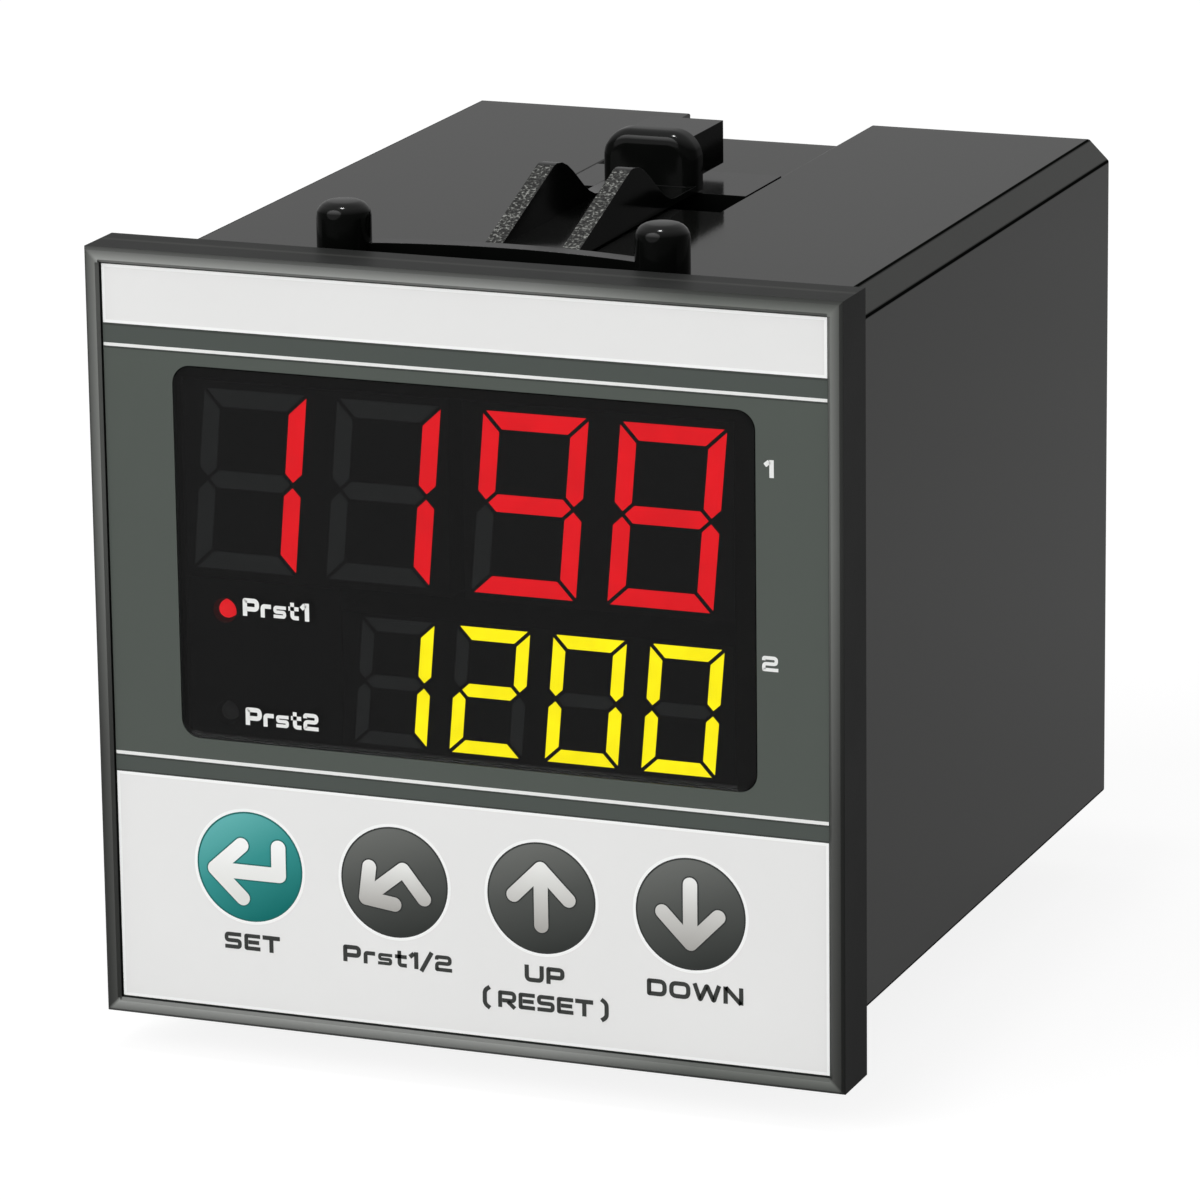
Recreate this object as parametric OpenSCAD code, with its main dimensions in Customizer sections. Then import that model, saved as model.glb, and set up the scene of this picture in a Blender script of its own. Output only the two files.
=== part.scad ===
// Panel counter, 72 mm square front, sliding clips, two rear terminal rows.
// X runs right as seen from the front, Y to the rear, Z up.
// The origin is the centre of the frame's back face, which meets the panel.

/* [Front frame] */
// Side of the square front frame
bezel_w = 72; // [71:0.5:76]
// Thickness of the front frame ahead of the panel
bezel_t = 6.1; // [5.8:0.1:8]
// Width of the raised rim round the printed sheet
rim_w = 1.4; // [1.2:0.1:2]
// Depth of the printed sheet below the crest of the rim
sheet_drop = 0.5; // [0.3:0.1:0.7]
// Thickness of the printed sheet
sheet_t = 0.25; // [0.2:0.05:0.4]
// Thickness of the frame's front wall
front_wall = 2; // [1.6:0.1:2.4]
// Width of the bevel on the frame's outer front edge
front_bevel = 0.3; // [0.2:0.05:0.8]

/* [Display window] */
// Width of the window in the printed sheet
window_w = 55.6; // [55.4:0.1:56.4]
// Height of the window
window_h = 34.7; // [34.5:0.1:35.3]
// Height of the window's centre above the frame's centre
window_z = 8.3; // [8:0.1:8.6]
// Corner radius of the window
window_r = 1.8; // [1:0.1:3]

/* [Displays] */
// Count shown on the upper display
shown_count = 1198; // [0:1:9999]
// Preset shown on the lower display
shown_preset = 1200; // [0:1:9999]
// Height of an upper digit
count_h = 16.75; // [15:0.05:17.2]
// Width of an upper digit
count_w = 10; // [9:0.1:10.4]
// Stroke of an upper digit
count_stroke = 1.65; // [1.4:0.05:2]
// Distance between the two digits of one upper display
count_pitch = 12.95; // [12.6:0.05:13.1]
// Height of a lower digit
preset_h = 11.85; // [10:0.05:12.2]
// Width of a lower digit
preset_w = 7; // [6:0.1:7.4]
// Stroke of a lower digit
preset_stroke = 1.25; // [1:0.05:1.6]
// Distance between lower digits
preset_pitch = 9.2; // [8.8:0.05:9.3]
// Lean of the digits in degrees
digit_slant = 5; // [0:0.5:7]
// Dark gap between neighbouring segments
segment_gap = 0.35; // [0.15:0.05:0.4]
// Radius of the preset lamps
lamp_r = 0.85; // [0.7:0.05:1.1]
// Sideways place of the displays in the window
display_x = -0.85; // [-1:0.05:0.9]

/* [Keys] */
// Distance between neighbouring keys
key_pitch = 14.27; // [13.6:0.01:14.5]
// Height of the key row below the frame's centre
key_drop = 20.8; // [20:0.1:21.2]
// Radius of a key plunger's face
key_r = 5.1; // [4.5:0.1:5.4]
// Travel of a key
key_travel = 0.3; // [0.2:0.05:0.4]

/* [Case] */
// Side of the square case behind the panel
case_w = 67.6; // [66.8:0.1:68]
// Depth of the case behind the panel
case_depth = 78; // [76:1:95]
// Thickness of the case walls
case_wall = 2; // [1.8:0.1:2.2]
// Thickness of the rear wall
rear_wall = 2.4; // [2:0.1:3]
// Chamfer along the case's long edges
edge_chamfer = 2; // [1:0.1:2.4]

/* [Clip track] */
// Width of the recessed track
track_w = 19; // [16:0.5:20]
// Depth of the recessed track
track_depth = 2.3; // [2.2:0.1:2.6]
// Distance of the track's front end behind the panel
track_start = 35; // [31:0.5:35]
// Depth of the undercut grooves beside the track
groove_d = 0.9; // [0.7:0.1:1.2]
// Height of the undercut grooves
groove_h = 1; // [0.9:0.05:1.1]
// Pitch of the ratchet teeth in the grooves
tooth_pitch = 1.5; // [1.2:0.1:2]
// Depth of the ratchet teeth
tooth_d = 0.45; // [0.3:0.05:0.6]

/* [Clip] */
// Gap between the panel face and the upper clip's posts
upper_gap = 2.5; // [2:0.1:6]
// Gap between the panel face and the lower clip's posts
lower_gap = 8.5; // [3:0.1:10]
// Diameter of a pressing post
post_d = 5; // [4:0.1:5.4]
// Distance between the two posts
post_spread = 30.6; // [28:0.2:34]
// Height of the posts above the case
post_h = 5.4; // [4.5:0.1:6.5]
// Rise of the bowed bar between the posts
bar_h = 1.7; // [1.4:0.1:2.8]
// Bow of the bar away from the panel
bar_bow = 2.4; // [1:0.1:3]
// Width of the clip's spine over its two ribs
spine_w = 9.2; // [8:0.1:10]
// Thickness of a rib
rib_t = 1.7; // [1:0.1:2.2]
// Height of the ribs above the case
rib_h = 5.5; // [4.5:0.1:6.5]
// Width of the thumb tab
tab_w = 9.4; // [9:0.1:10.5]
// Height of the thumb tab above the case
tab_h = 5.7; // [5:0.1:6.5]
// Length of the thumb tab with its overhang
tab_len = 10.9; // [9:0.1:12]

/* [Terminals] */
// Screw terminals in each rear row
poles = 8; // [6:1:8]
// Height of a terminal block
block_h = 13.2; // [12.6:0.1:13.4]
// Radius of a terminal screw's head
screw_r = 1.9; // [1.6:0.05:2]

/* [Hidden] */
$fn = 32;
// Overrun of a cut past a face
over = 1;
// Gap round pieces that drop into a seat
seat_gap = 0.2;
// Gap round curved pieces that pass through another piece
pass_gap = 0.3;
// Gap round sliding faces of the clips
slide_gap = 0.15;

// Front frame
half = bezel_w / 2;
sheet_half = half - rim_w;
sheet_front = -bezel_t + sheet_drop;
wall_front = sheet_front + sheet_t;
wall_back = wall_front + front_wall;
rebate = 1.2;
inner_half = case_w / 2 - case_wall;
spigot_out = inner_half - seat_gap;
spigot_wall = 1.5;
spigot_in = spigot_out - spigot_wall;
inner_chamfer = max(edge_chamfer - case_wall * 0.6, 0.4);
inner_bevel = sheet_drop * 0.8;
sheet_gap = 0.1;

// Display stack
lens_t = 1;
lens_back = sheet_front + lens_t;
lens_gap = 0.25;
face_y = lens_back + lens_gap;
board_t = 1.6;
display_d = 9.55;
display_gap = 0.2;
board_y = face_y + display_d;
spigot_len = board_y + board_t - seat_gap;
barb_w = 12;
barb_d = 0.7;
barb_t = 1.6;
barb_y = spigot_len - barb_t;
barb_lead = barb_t * 0.4;
cavity_d = 1.4;
diffuser_inset = 0.04;
joint_gap = segment_gap * 0.7;
module_wall = 1;
module_floor = cavity_d + 1.2;
count_rise = 6.83;
count_z = window_z + count_rise;
preset_fall = 10.67;
preset_z = window_z - preset_fall;
count_gap = 1.4;
count_face_w = 2 * count_pitch - 0.3;
count_face_h = count_h + 1.4;
count_shift = (count_face_w + count_gap) / 2;
count_edge = count_shift + count_face_w / 2;
count_top = count_z + count_face_h / 2;
count_low = count_z - count_face_h / 2;
preset_face_w = 4 * preset_pitch + 0.6;
preset_face_h = preset_h + 0.8;
preset_x = display_x + count_edge - (preset_face_w + display_gap) / 2;
preset_low = preset_z - preset_face_h / 2;
lamp_x = display_x - count_edge + 3.5;
lamp_falls = [5.37, 14.95];
lamp_z = [for (fall = lamp_falls) window_z - fall];
lamp_len = 4.6;
lamp_flange = 0.25;
lamp_flange_t = 0.8;
lead_t = 0.5;
lead_x = lamp_r * 0.6;
display_half = spigot_in - 0.5;
boss_x = spigot_in - 2.4;
boss_z = spigot_in - 0.7;
boss_r = 2;
board_screw_r = 1;
board_screw_head_r = 1.8;
board_screw_head_t = 1.2;
board_screw_tip = wall_back + 2;
board_screw_slot = 0.5;
boss_hole = wall_back + 1.5;

// Keys and switches
key_x = [for (i = [0:3]) (i - 1.5) * key_pitch];
key_edge = 0.3;
key_lip = 0.9;
key_lip_t = 1;
key_front = wall_front + 0.05;
key_lip_y = wall_back + 0.1;
key_post_r = 2;
switch_w = 6;
switch_h = 3.4;
switch_y = board_y - switch_h;
switch_foot = [1, 1.4, 0.7];
switch_foot_x = switch_w / 2 + 0.4;
switch_foot_z = switch_w * 0.375;
stem_r = 1.6;
stem_tip = switch_y - 1.2;
stem_end = switch_y + 1.4;

// Clip track
track_floor = case_w / 2 - track_depth;
bed_wall = 1.8;
bed_half = track_w / 2 + groove_d + tooth_d + bed_wall;
groove_half = track_w / 2 + groove_d;
tooth_start = track_start + 6;
tooth_count = floor((case_depth - tooth_start - over) / tooth_pitch);

// Boards
rail_t = 1.2;
rail_w = 2.4;
main_half = inner_half - 1.4;
block_clear = 2.3;
main_z = track_floor - bed_wall - block_clear - block_h - board_t;
main_front = board_y + board_t + 10.5;
main_rear = case_depth - 9;
header_pins = 12;
header_at = main_front + 0.5;
pin_pitch = 2.54;
pin_t = 0.64;
pin_front = main_front - 6.5;
pin_back = main_front + 4;
socket_d = 8.5;
socket_side = 0.4;
socket_end = 0.6;
socket_floor = 2;
socket_slot = 1.4;

// Pieces on the boards, sized by the boards and the space between them
bay_len = main_rear - main_front;
chip = [main_half * 0.21, bay_len * 0.49, main_z * 0.26];
chip_at = [main_half * 0.395, main_front + bay_len * 0.23, 0];
chip_lift = 0.6;
chip_pins = 10;
chip_pin = [0.6, 1];
core = [main_half * 0.987, bay_len * 0.348, main_z * 1.905];
core_at = [-main_half * 0.296, main_front + bay_len * 0.348, -main_z];
core_leg = core[0] * 0.267;
core_yoke = core[0] * 0.133;
core_window = (core[0] - core_leg - 2 * core_yoke) / 2;
spool_h = core[2] - 2 * core_yoke - 2 * seat_gap;
spool_t = 0.8;
flange_t = 1;
spool_hole = [core_leg + 2 * seat_gap, core[1] + 2 * seat_gap];
spool_out = [spool_hole[0] + 2 * spool_t, spool_hole[1] + 2 * spool_t];
flange_out = [core_leg + 2 * core_window - 2 * seat_gap, core[1] + 2 * core_window - 2 * seat_gap];
wire_out = [flange_out[0] - 2 * seat_gap, flange_out[1] - 2 * seat_gap];
relay_size = [main_half * 0.506, bay_len * 0.368, main_z * 1.206];
relay_x = main_half * 0.526;
relay_front = main_front + bay_len * 0.077;
relay_pitch = bay_len * 0.406;
relay_lift = 0.3;
relay_pin = 1.2;
relay_pin_x = relay_size[0] * 0.39;
relay_pin_y = [relay_size[1] * 0.16, relay_size[1] * 0.84];
can_r = bay_len * 0.087;
can_h = main_z * 1.11;
can_x = [-main_half * 0.658, -main_half * 0.296];
can_y = main_rear - bay_len * 0.225;
can_edge = 0.5;
can_waist = 1.6;

// Terminals
pole_pitch = (2 * inner_half - 2.6) / 8;
block_w = poles * pole_pitch + 1.2;
block_z = main_z + board_t;
block_d = 15.5;
block_rear = case_depth - 0.5;
block_front = block_rear - block_d;
block_face = 3.4;
block_floor = 1.6;
pocket_w = 5.2;
pocket_z = block_h - 2 * block_floor;
pocket_rear = block_rear - block_face;
shoulder = block_rear - 2;
screw_z = block_h * 0.727;
screw_top = block_rear - 0.4;
slot_d = 0.7;
slot_w = 0.6;
entry_z = block_h * 0.348;
entry_w = 3.4;
entry_bevel = entry_w * 0.8;
cage_d = 4;
cage_gap = 0.1;
shank_r = 1.25;
shank_from = pocket_rear - cage_d + 0.5;

// Clip, lengths measured from the front of its posts
bar_t = 1.8;
bow_facets = 128;
spine_t = 1.2;
post_round = 1.4;
foot_lead = 7.4;
foot_at = track_start - upper_gap + foot_lead;
foot_len = 9.8;
foot_top = -slide_gap;
foot_plate = 0.7;
tab_lead = 1.3;
tab_at = foot_at - tab_lead;
rib_start = 9.3;
rib_peak = 23.2;
dip_lead = 4.6;
rib_dip = tab_at - dip_lead;
rib_low = spine_t * 0.5;
crest_len = 1.4;
crest_drop = 0.35;
fall_steps = 8;
tab_round = 2.7;
tab_under = 0.8;
tab_neck = 2.4;
tab_edge = 1.3;
tab_block = 1.7;
tab_back_w = 7.2;
tab_drop = 0.8;
neck_len = 2.4;
finger_w = 1.4;
finger_root = 3;
slit_w = 0.8;

// Rib outline in Y and Z: straight rise, round crest, easing fall to the tab
rib_crest = [for (k = [2, 1, 0]) [rib_peak - crest_len * k / 2, rib_h - crest_drop * pow(k / 2, 2)]];
rib_fall = [for (k = [1:fall_steps]) [rib_peak + (rib_dip - rib_peak) * k / fall_steps,
    rib_low + (rib_h - rib_low) * (1 + cos(180 * k / fall_steps)) / 2]];
rib_points = concat([[rib_start, 0], [rib_start, spine_t / 2]], rib_crest, rib_fall,
    [[tab_at + tab_edge, rib_low], [tab_at + tab_edge, 0]]);

// Colours
case_grey = [0.29, 0.29, 0.28];
frame_grey = [0.2, 0.2, 0.2];
sheet_grey = [0.8, 0.8, 0.8];
clip_black = [0.05, 0.05, 0.05];
module_black = [0.1, 0.1, 0.1];
board_green = [0.1, 0.35, 0.2];
tin = [0.75, 0.75, 0.75];

// Segments lit for each figure, in the order a to g
FIGURES = [[1, 1, 1, 1, 1, 1, 0], [0, 1, 1, 0, 0, 0, 0], [1, 1, 0, 1, 1, 0, 1], [1, 1, 1, 1, 0, 0, 1],
    [0, 1, 1, 0, 0, 1, 1], [1, 0, 1, 1, 0, 1, 1], [1, 0, 1, 1, 1, 1, 1], [1, 1, 1, 0, 0, 0, 0],
    [1, 1, 1, 1, 1, 1, 1], [1, 1, 1, 1, 0, 1, 1]];

// Figure at a place of a four-figure number, 0 being the leftmost
function figure(number, place) = floor(number / pow(10, 3 - place)) % 10;

// Outline of a horizontal end segment of a digit, up being 1 at the top and -1 at the bottom
function end_segment(w, h, t, g, up) = [
    [-w / 2 + g, up * h / 2], [w / 2 - g, up * h / 2],
    [w / 2 - t - g, up * (h / 2 - t)], [-w / 2 + t + g, up * (h / 2 - t)]];

// Outline of the middle segment of a digit
function middle_segment(w, t, g) = [
    [-w / 2 + t / 2 + g, 0], [-w / 2 + t + g, t / 2], [w / 2 - t - g, t / 2],
    [w / 2 - t / 2 - g, 0], [w / 2 - t - g, -t / 2], [-w / 2 + t + g, -t / 2]];

// Outline of an upright segment of a digit, side and up being 1 or -1
function side_segment(w, h, t, g, side, up) = [
    [side * w / 2, up * (h / 2 - g)], [side * w / 2, up * (t / 2 + g)],
    [side * (w - t) / 2, up * g],
    [side * (w / 2 - t), up * (t / 2 + g)], [side * (w / 2 - t), up * (h / 2 - t - g)]];

// Outline of segment s, 0 to 6 for a to g
function segment(s, w, h, t, g) =
    s == 0 ? end_segment(w, h, t, g, 1) :
    s == 1 ? side_segment(w, h, t, g, 1, 1) :
    s == 2 ? side_segment(w, h, t, g, 1, -1) :
    s == 3 ? end_segment(w, h, t, g, -1) :
    s == 4 ? side_segment(w, h, t, g, -1, -1) :
    s == 5 ? side_segment(w, h, t, g, -1, 1) : middle_segment(w, t, g);

// Outline leaning to the right
function lean(points) = [for (p = points) [p[0] + p[1] * tan(digit_slant), p[1]]];

// Profile in X and Z drawn out from y0 to y1
module span_y(y0, y1) {
    translate([0, y1, 0])
        rotate([90, 0, 0])
            linear_extrude(y1 - y0)
                children();
}

// Profile in Y and Z drawn out from x0 to x1
module span_x(x0, x1) {
    translate([x0, 0, 0])
        rotate([90, 0, 90])
            linear_extrude(x1 - x0)
                children();
}

// Round bar along Y from y0 to y1
module rod_y(r, y0, y1) {
    translate([0, y0, 0])
        rotate([-90, 0, 0])
            cylinder(r = r, h = y1 - y0);
}

// Box from one corner to the other
module box(low, high) {
    translate(low)
        cube(high - low);
}

// Square with chamfered corners, in the plane
module chamfered_square(w, ch) {
    a = w / 2;
    b = w / 2 - ch;
    polygon([[-b, -a], [b, -a], [a, -b], [a, b], [b, a], [-b, a], [-a, b], [-a, -b]]);
}

// Plate with round corners, standing in X and Z
module round_plate(w, h, r, y0, y1) {
    box([-w / 2 + r, y0, -h / 2], [w / 2 - r, y1, h / 2]);
    box([-w / 2, y0, -h / 2 + r], [w / 2, y1, h / 2 - r]);
    for (sx = [-1, 1], sz = [-1, 1])
        translate([sx * (w / 2 - r), 0, sz * (h / 2 - r)])
            rod_y(r, y0, y1);
}

// Turns its children to each of the four sides
module four_sides() {
    for (a = [0:90:270])
        rotate([0, a, 0])
            children();
}

// Turns its children about Y to the underside when side is -1
module on_side(side) {
    rotate([0, side > 0 ? 0 : 180, 0])
        children();
}

// Ratchet groove outline in X and Y, both sides of the track
module groove_outline() {
    right = [for (i = [0:tooth_count - 1], k = [0, 1])
        [groove_half + (k == 0 ? tooth_d : 0), tooth_start + (i + k) * tooth_pitch]];
    left = [for (i = [len(right) - 1:-1:0]) [-right[i][0], right[i][1]]];
    polygon(concat([[groove_half, track_start]], [[groove_half, tooth_start]], right,
        [[groove_half, case_depth + over], [-groove_half, case_depth + over]], left,
        [[-groove_half, tooth_start]], [[-groove_half, track_start]]));
}

// Space of one clip track on the upper side
module track_space() {
    box([-track_w / 2, track_start, track_floor], [track_w / 2, case_depth + over, case_w / 2 + over]);
    translate([0, 0, track_floor])
        linear_extrude(groove_h)
            groove_outline();
}

module case() {
    color(case_grey)
    difference() {
        union() {
            difference() {
                span_y(-rebate, case_depth)
                    chamfered_square(case_w, edge_chamfer);
                span_y(-rebate - over, case_depth - rear_wall)
                    chamfered_square(2 * inner_half, inner_chamfer);
            }
            for (side = [-1, 1])
                on_side(side)
                    box([-bed_half, track_start - bed_wall, track_floor - bed_wall],
                        [bed_half, case_depth - rear_wall, inner_half + case_wall / 2]);
            for (side = [-1, 1])
                on_side(side)
                    board_rails();
        }
        for (side = [-1, 1])
            on_side(side)
                track_space();
        four_sides()
            box([-barb_w / 2 - seat_gap, barb_y - seat_gap, inner_half - over],
                [barb_w / 2 + seat_gap, spigot_len + seat_gap, inner_half + barb_d]);
        for (side = [-1, 1])
            on_side(side)
                box([-block_w / 2 - seat_gap, case_depth - rear_wall - over, block_z - seat_gap],
                    [block_w / 2 + seat_gap, case_depth + over, block_z + block_h + seat_gap]);
    }
}

// Ribs on both side walls that hold one main board by its edges
module board_rails() {
    reach = rail_w + case_wall / 2;
    for (sx = [-1, 1], z = [main_z - rail_t - slide_gap, main_z + board_t + slide_gap])
        translate([sx * (inner_half - rail_w + reach / 2), 0, 0])
            box([-reach / 2, main_front, z], [reach / 2, block_front - over, z + rail_t]);
}

// Frame's rim: bevels on the outer and inner edges
module rim_cuts() {
    four_sides() {
        translate([0, -bezel_t, half])
            rotate([45, 0, 0])
                cube([bezel_w + 2 * over, front_bevel * sqrt(2), front_bevel * sqrt(2)], center = true);
        translate([0, -bezel_t, sheet_half])
            rotate([45, 0, 0])
                cube([2 * sheet_half, inner_bevel, inner_bevel], center = true);
    }
}

module bezel() {
    color(frame_grey)
    difference() {
        union() {
            box([-half, -bezel_t, -half], [half, 0, half]);
            span_y(-rebate - over, spigot_len)
                chamfered_square(2 * spigot_out, inner_chamfer);
            four_sides()
                span_x(-barb_w / 2, barb_w / 2)
                    polygon([[barb_y, spigot_out - over], [spigot_len, spigot_out - over],
                        [spigot_len, spigot_out], [barb_y + barb_lead, spigot_out + barb_d],
                        [barb_y, spigot_out + barb_d]]);
        }
        rim_cuts();
        box([-sheet_half, -bezel_t - over, -sheet_half], [sheet_half, wall_front, sheet_half]);
        difference() {
            span_y(wall_back, spigot_len + over)
                chamfered_square(2 * spigot_in, inner_chamfer);
            for (sx = [-1, 1], sz = [-1, 1])
                translate([sx * boss_x, 0, sz * boss_z])
                    rod_y(boss_r, wall_back - over, board_y);
        }
        difference() {
            span_y(-rebate, over)
                chamfered_square(case_w + 2 * seat_gap, edge_chamfer);
            span_y(-rebate - over, 2 * over)
                chamfered_square(2 * spigot_out, inner_chamfer);
        }
        translate([0, 0, window_z])
            round_plate(window_w + 2 * seat_gap, window_h + 2 * seat_gap, window_r + seat_gap,
                wall_front - over, lens_back);
        box([display_x - count_edge - seat_gap, wall_front - over, preset_low - seat_gap],
            [display_x + count_edge + seat_gap, wall_back + over, count_top + seat_gap]);
        for (x = key_x)
            translate([x, 0, -key_drop])
                rod_y(key_r + pass_gap, wall_front - over, wall_back + over);
        for (sx = [-1, 1], sz = [-1, 1])
            translate([sx * boss_x, 0, sz * boss_z])
                rod_y(board_screw_r + pass_gap, boss_hole, spigot_len + over);
    }
}

module overlay() {
    color(sheet_grey)
    difference() {
        box([-sheet_half + sheet_gap, sheet_front, -sheet_half + sheet_gap],
            [sheet_half - sheet_gap, wall_front, sheet_half - sheet_gap]);
        translate([0, 0, window_z])
            round_plate(window_w, window_h, window_r, sheet_front - over, wall_front + over);
    }
}

module display_window() {
    color([0.1, 0.1, 0.1, 0.4])
    translate([0, 0, window_z])
        round_plate(window_w - seat_gap, window_h - seat_gap, window_r - seat_gap / 2,
            sheet_front, lens_back);
}

// Segments of one digit that are on, or off, as prisms from y0 to y1
module digit(number, place, w, h, t, inset, y0, y1, on) {
    states = FIGURES[figure(number, place)];
    for (s = [0:6])
        if (on == 2 || states[s] == on)
            span_y(y0, y1)
                polygon(lean(segment(s, w - 2 * inset, h - 2 * inset, t - 2 * inset,
                    joint_gap + inset / 2)));
}

// Digits first to last of the upper display
module count_digits(first, last, inset, y0, y1, on) {
    for (i = [first:last])
        translate([display_x + (i < 2 ? -1 : 1) * count_shift + (i % 2 - 0.5) * count_pitch, 0, count_z])
            digit(shown_count, i, count_w, count_h, count_stroke, inset, y0, y1, on);
}

// Digits of the lower display
module preset_digits(inset, y0, y1, on) {
    for (i = [0:3])
        translate([preset_x + (i - 1.5) * preset_pitch, 0, preset_z])
            digit(shown_preset, i, preset_w, preset_h, preset_stroke, inset, y0, y1, on);
}

// Two-digit display block, side being -1 or 1
module count_display(side) {
    x = display_x + side * count_shift;
    first = side < 0 ? 0 : 2;
    color(module_black)
    difference() {
        box([x - count_face_w / 2, face_y, count_z - count_face_h / 2],
            [x + count_face_w / 2, board_y, count_z + count_face_h / 2]);
        count_digits(first, first + 1, 0, face_y - over, face_y + cavity_d, 2);
        box([x - count_face_w / 2 + module_wall, face_y + module_floor,
                count_z - count_face_h / 2 + module_wall],
            [x + count_face_w / 2 - module_wall, board_y + over,
                count_z + count_face_h / 2 - module_wall]);
    }
}

module count_display_left() {
    count_display(-1);
}

module count_display_right() {
    count_display(1);
}

module count_lit_segments() {
    color([0.87, 0.13, 0.15])
        count_digits(0, 3, diffuser_inset, face_y, face_y + cavity_d, 1);
}

module count_dark_segments() {
    color([0.14, 0.15, 0.15])
        count_digits(0, 3, diffuser_inset, face_y, face_y + cavity_d, 0);
}

module preset_display() {
    color(module_black)
    difference() {
        box([preset_x - preset_face_w / 2, face_y, preset_z - preset_face_h / 2],
            [preset_x + preset_face_w / 2, board_y, preset_z + preset_face_h / 2]);
        preset_digits(0, face_y - over, face_y + cavity_d, 2);
        box([preset_x - preset_face_w / 2 + module_wall, face_y + module_floor,
                preset_z - preset_face_h / 2 + module_wall],
            [preset_x + preset_face_w / 2 - module_wall, board_y + over,
                preset_z + preset_face_h / 2 - module_wall]);
    }
}

module preset_lit_segments() {
    color([1, 0.94, 0])
        preset_digits(diffuser_inset, face_y, face_y + cavity_d, 1);
}

module preset_dark_segments() {
    color([0.14, 0.15, 0.15])
        preset_digits(diffuser_inset, face_y, face_y + cavity_d, 0);
}

// Round lamp on two leads
module lamp(z) {
    translate([lamp_x, 0, z]) {
        translate([0, face_y + lamp_r, 0])
            intersection() {
                sphere(r = lamp_r);
                box([-over, -over, -over], [over, 0, over]);
            }
        rod_y(lamp_r, face_y + lamp_r, face_y + lamp_len);
        rod_y(lamp_r + lamp_flange, face_y + lamp_len - lamp_flange_t, face_y + lamp_len);
        for (sx = [-1, 1])
            box([sx * lead_x - lead_t / 2, face_y + lamp_len - lamp_flange_t / 2, -lead_t / 2],
                [sx * lead_x + lead_t / 2, board_y, lead_t / 2]);
    }
}

module preset_1_lamp() {
    color([0.9, 0.12, 0.14])
        lamp(lamp_z[0]);
}

module preset_2_lamp() {
    color([0.16, 0.15, 0.15])
        lamp(lamp_z[1]);
}

// Black holder beside the lower display, with a stepped bore for each lamp
module lamp_holder() {
    flange_y = face_y + lamp_len - lamp_flange_t - pass_gap;
    color(module_black)
    difference() {
        box([display_x - count_edge, face_y, preset_low],
            [preset_x - preset_face_w / 2 - display_gap, board_y, count_low - display_gap]);
        for (z = lamp_z)
            translate([lamp_x, 0, z]) {
                rod_y(lamp_r + pass_gap, face_y - over, board_y + over);
                rod_y(lamp_r + lamp_flange + pass_gap, flange_y, board_y + over);
            }
    }
}

module display_board() {
    color(board_green)
    difference() {
        span_y(board_y, board_y + board_t)
            chamfered_square(2 * display_half, inner_chamfer);
        for (sx = [-1, 1], sz = [-1, 1])
            translate([sx * boss_x, 0, sz * boss_z])
                rod_y(board_screw_r + pass_gap, board_y - over, board_y + board_t + over);
    }
}

module display_board_screws() {
    back = board_y + board_t;
    top = back + board_screw_head_t;
    reach = board_screw_head_r * 0.65;
    color(tin)
    for (sx = [-1, 1], sz = [-1, 1])
        translate([sx * boss_x, 0, sz * boss_z])
            difference() {
                union() {
                    rod_y(board_screw_r, board_screw_tip, back + board_screw_head_t / 2);
                    rod_y(board_screw_head_r, back, top);
                }
                for (a = [0, 90])
                    rotate([0, a, 0])
                        box([-reach, top - board_screw_head_t / 2, -board_screw_slot / 2],
                            [reach, top + over, board_screw_slot / 2]);
            }
}

// Key plunger behind the printed sheet: face, retaining lip and post
module key(i) {
    color([0.35, 0.36, 0.36])
    translate([key_x[i], 0, -key_drop])
        rotate([-90, 0, 0])
            rotate_extrude()
                polygon([[0, key_front], [key_r - key_edge, key_front], [key_r, key_front + key_edge],
                    [key_r, key_lip_y], [key_r + key_lip, key_lip_y],
                    [key_r + key_lip, key_lip_y + key_lip_t], [key_post_r, key_lip_y + key_lip_t],
                    [key_post_r, stem_tip], [0, stem_tip]]);
}

module set_key() {
    key(0);
}

module preset_key() {
    key(1);
}

module up_key() {
    key(2);
}

module down_key() {
    key(3);
}

// Moving stem of a key switch, with its collar inside the housing
module stem(i) {
    color([0.15, 0.15, 0.15])
    translate([key_x[i], 0, -key_drop])
        rod_y(stem_r, stem_tip, stem_end);
}

module set_stem() {
    stem(0);
}

module preset_stem() {
    stem(1);
}

module up_stem() {
    stem(2);
}

module down_stem() {
    stem(3);
}

// Key switch housing with its stem bore and four feet
module key_switch(i) {
    color([0.55, 0.55, 0.55])
    translate([key_x[i], 0, -key_drop])
        difference() {
            union() {
                box([-switch_w / 2, switch_y, -switch_w / 2], [switch_w / 2, board_y, switch_w / 2]);
                for (sx = [-1, 1], sz = [-1, 1])
                    translate([sx * switch_foot_x, board_y - switch_foot[1] / 2, sz * switch_foot_z])
                        cube(switch_foot, center = true);
            }
            rod_y(stem_r + pass_gap, switch_y - over, stem_end + 2 * key_travel);
        }
}

module set_switch() {
    key_switch(0);
}

module preset_switch() {
    key_switch(1);
}

module up_switch() {
    key_switch(2);
}

module down_switch() {
    key_switch(3);
}

// Main board on one side of the middle
module main_board(side) {
    color(board_green)
    on_side(side)
        box([-main_half, main_front, main_z], [main_half, main_rear, main_z + board_t]);
}

module logic_board() {
    main_board(1);
}

module supply_board() {
    main_board(-1);
}

// Pin strip on a main board, its pins reaching forward
module header(side) {
    strip = header_pins * pin_pitch;
    z = main_z + board_t;
    color([0.12, 0.12, 0.12])
    on_side(side) {
        box([-strip / 2, header_at, z], [strip / 2, header_at + pin_pitch, z + pin_pitch]);
        for (i = [0:header_pins - 1])
            translate([(i - (header_pins - 1) / 2) * pin_pitch, 0, z + pin_pitch / 2])
                box([-pin_t / 2, pin_front, -pin_t / 2], [pin_t / 2, pin_back, pin_t / 2]);
    }
}

module logic_header() {
    header(1);
}

module supply_header() {
    header(-1);
}

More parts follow.
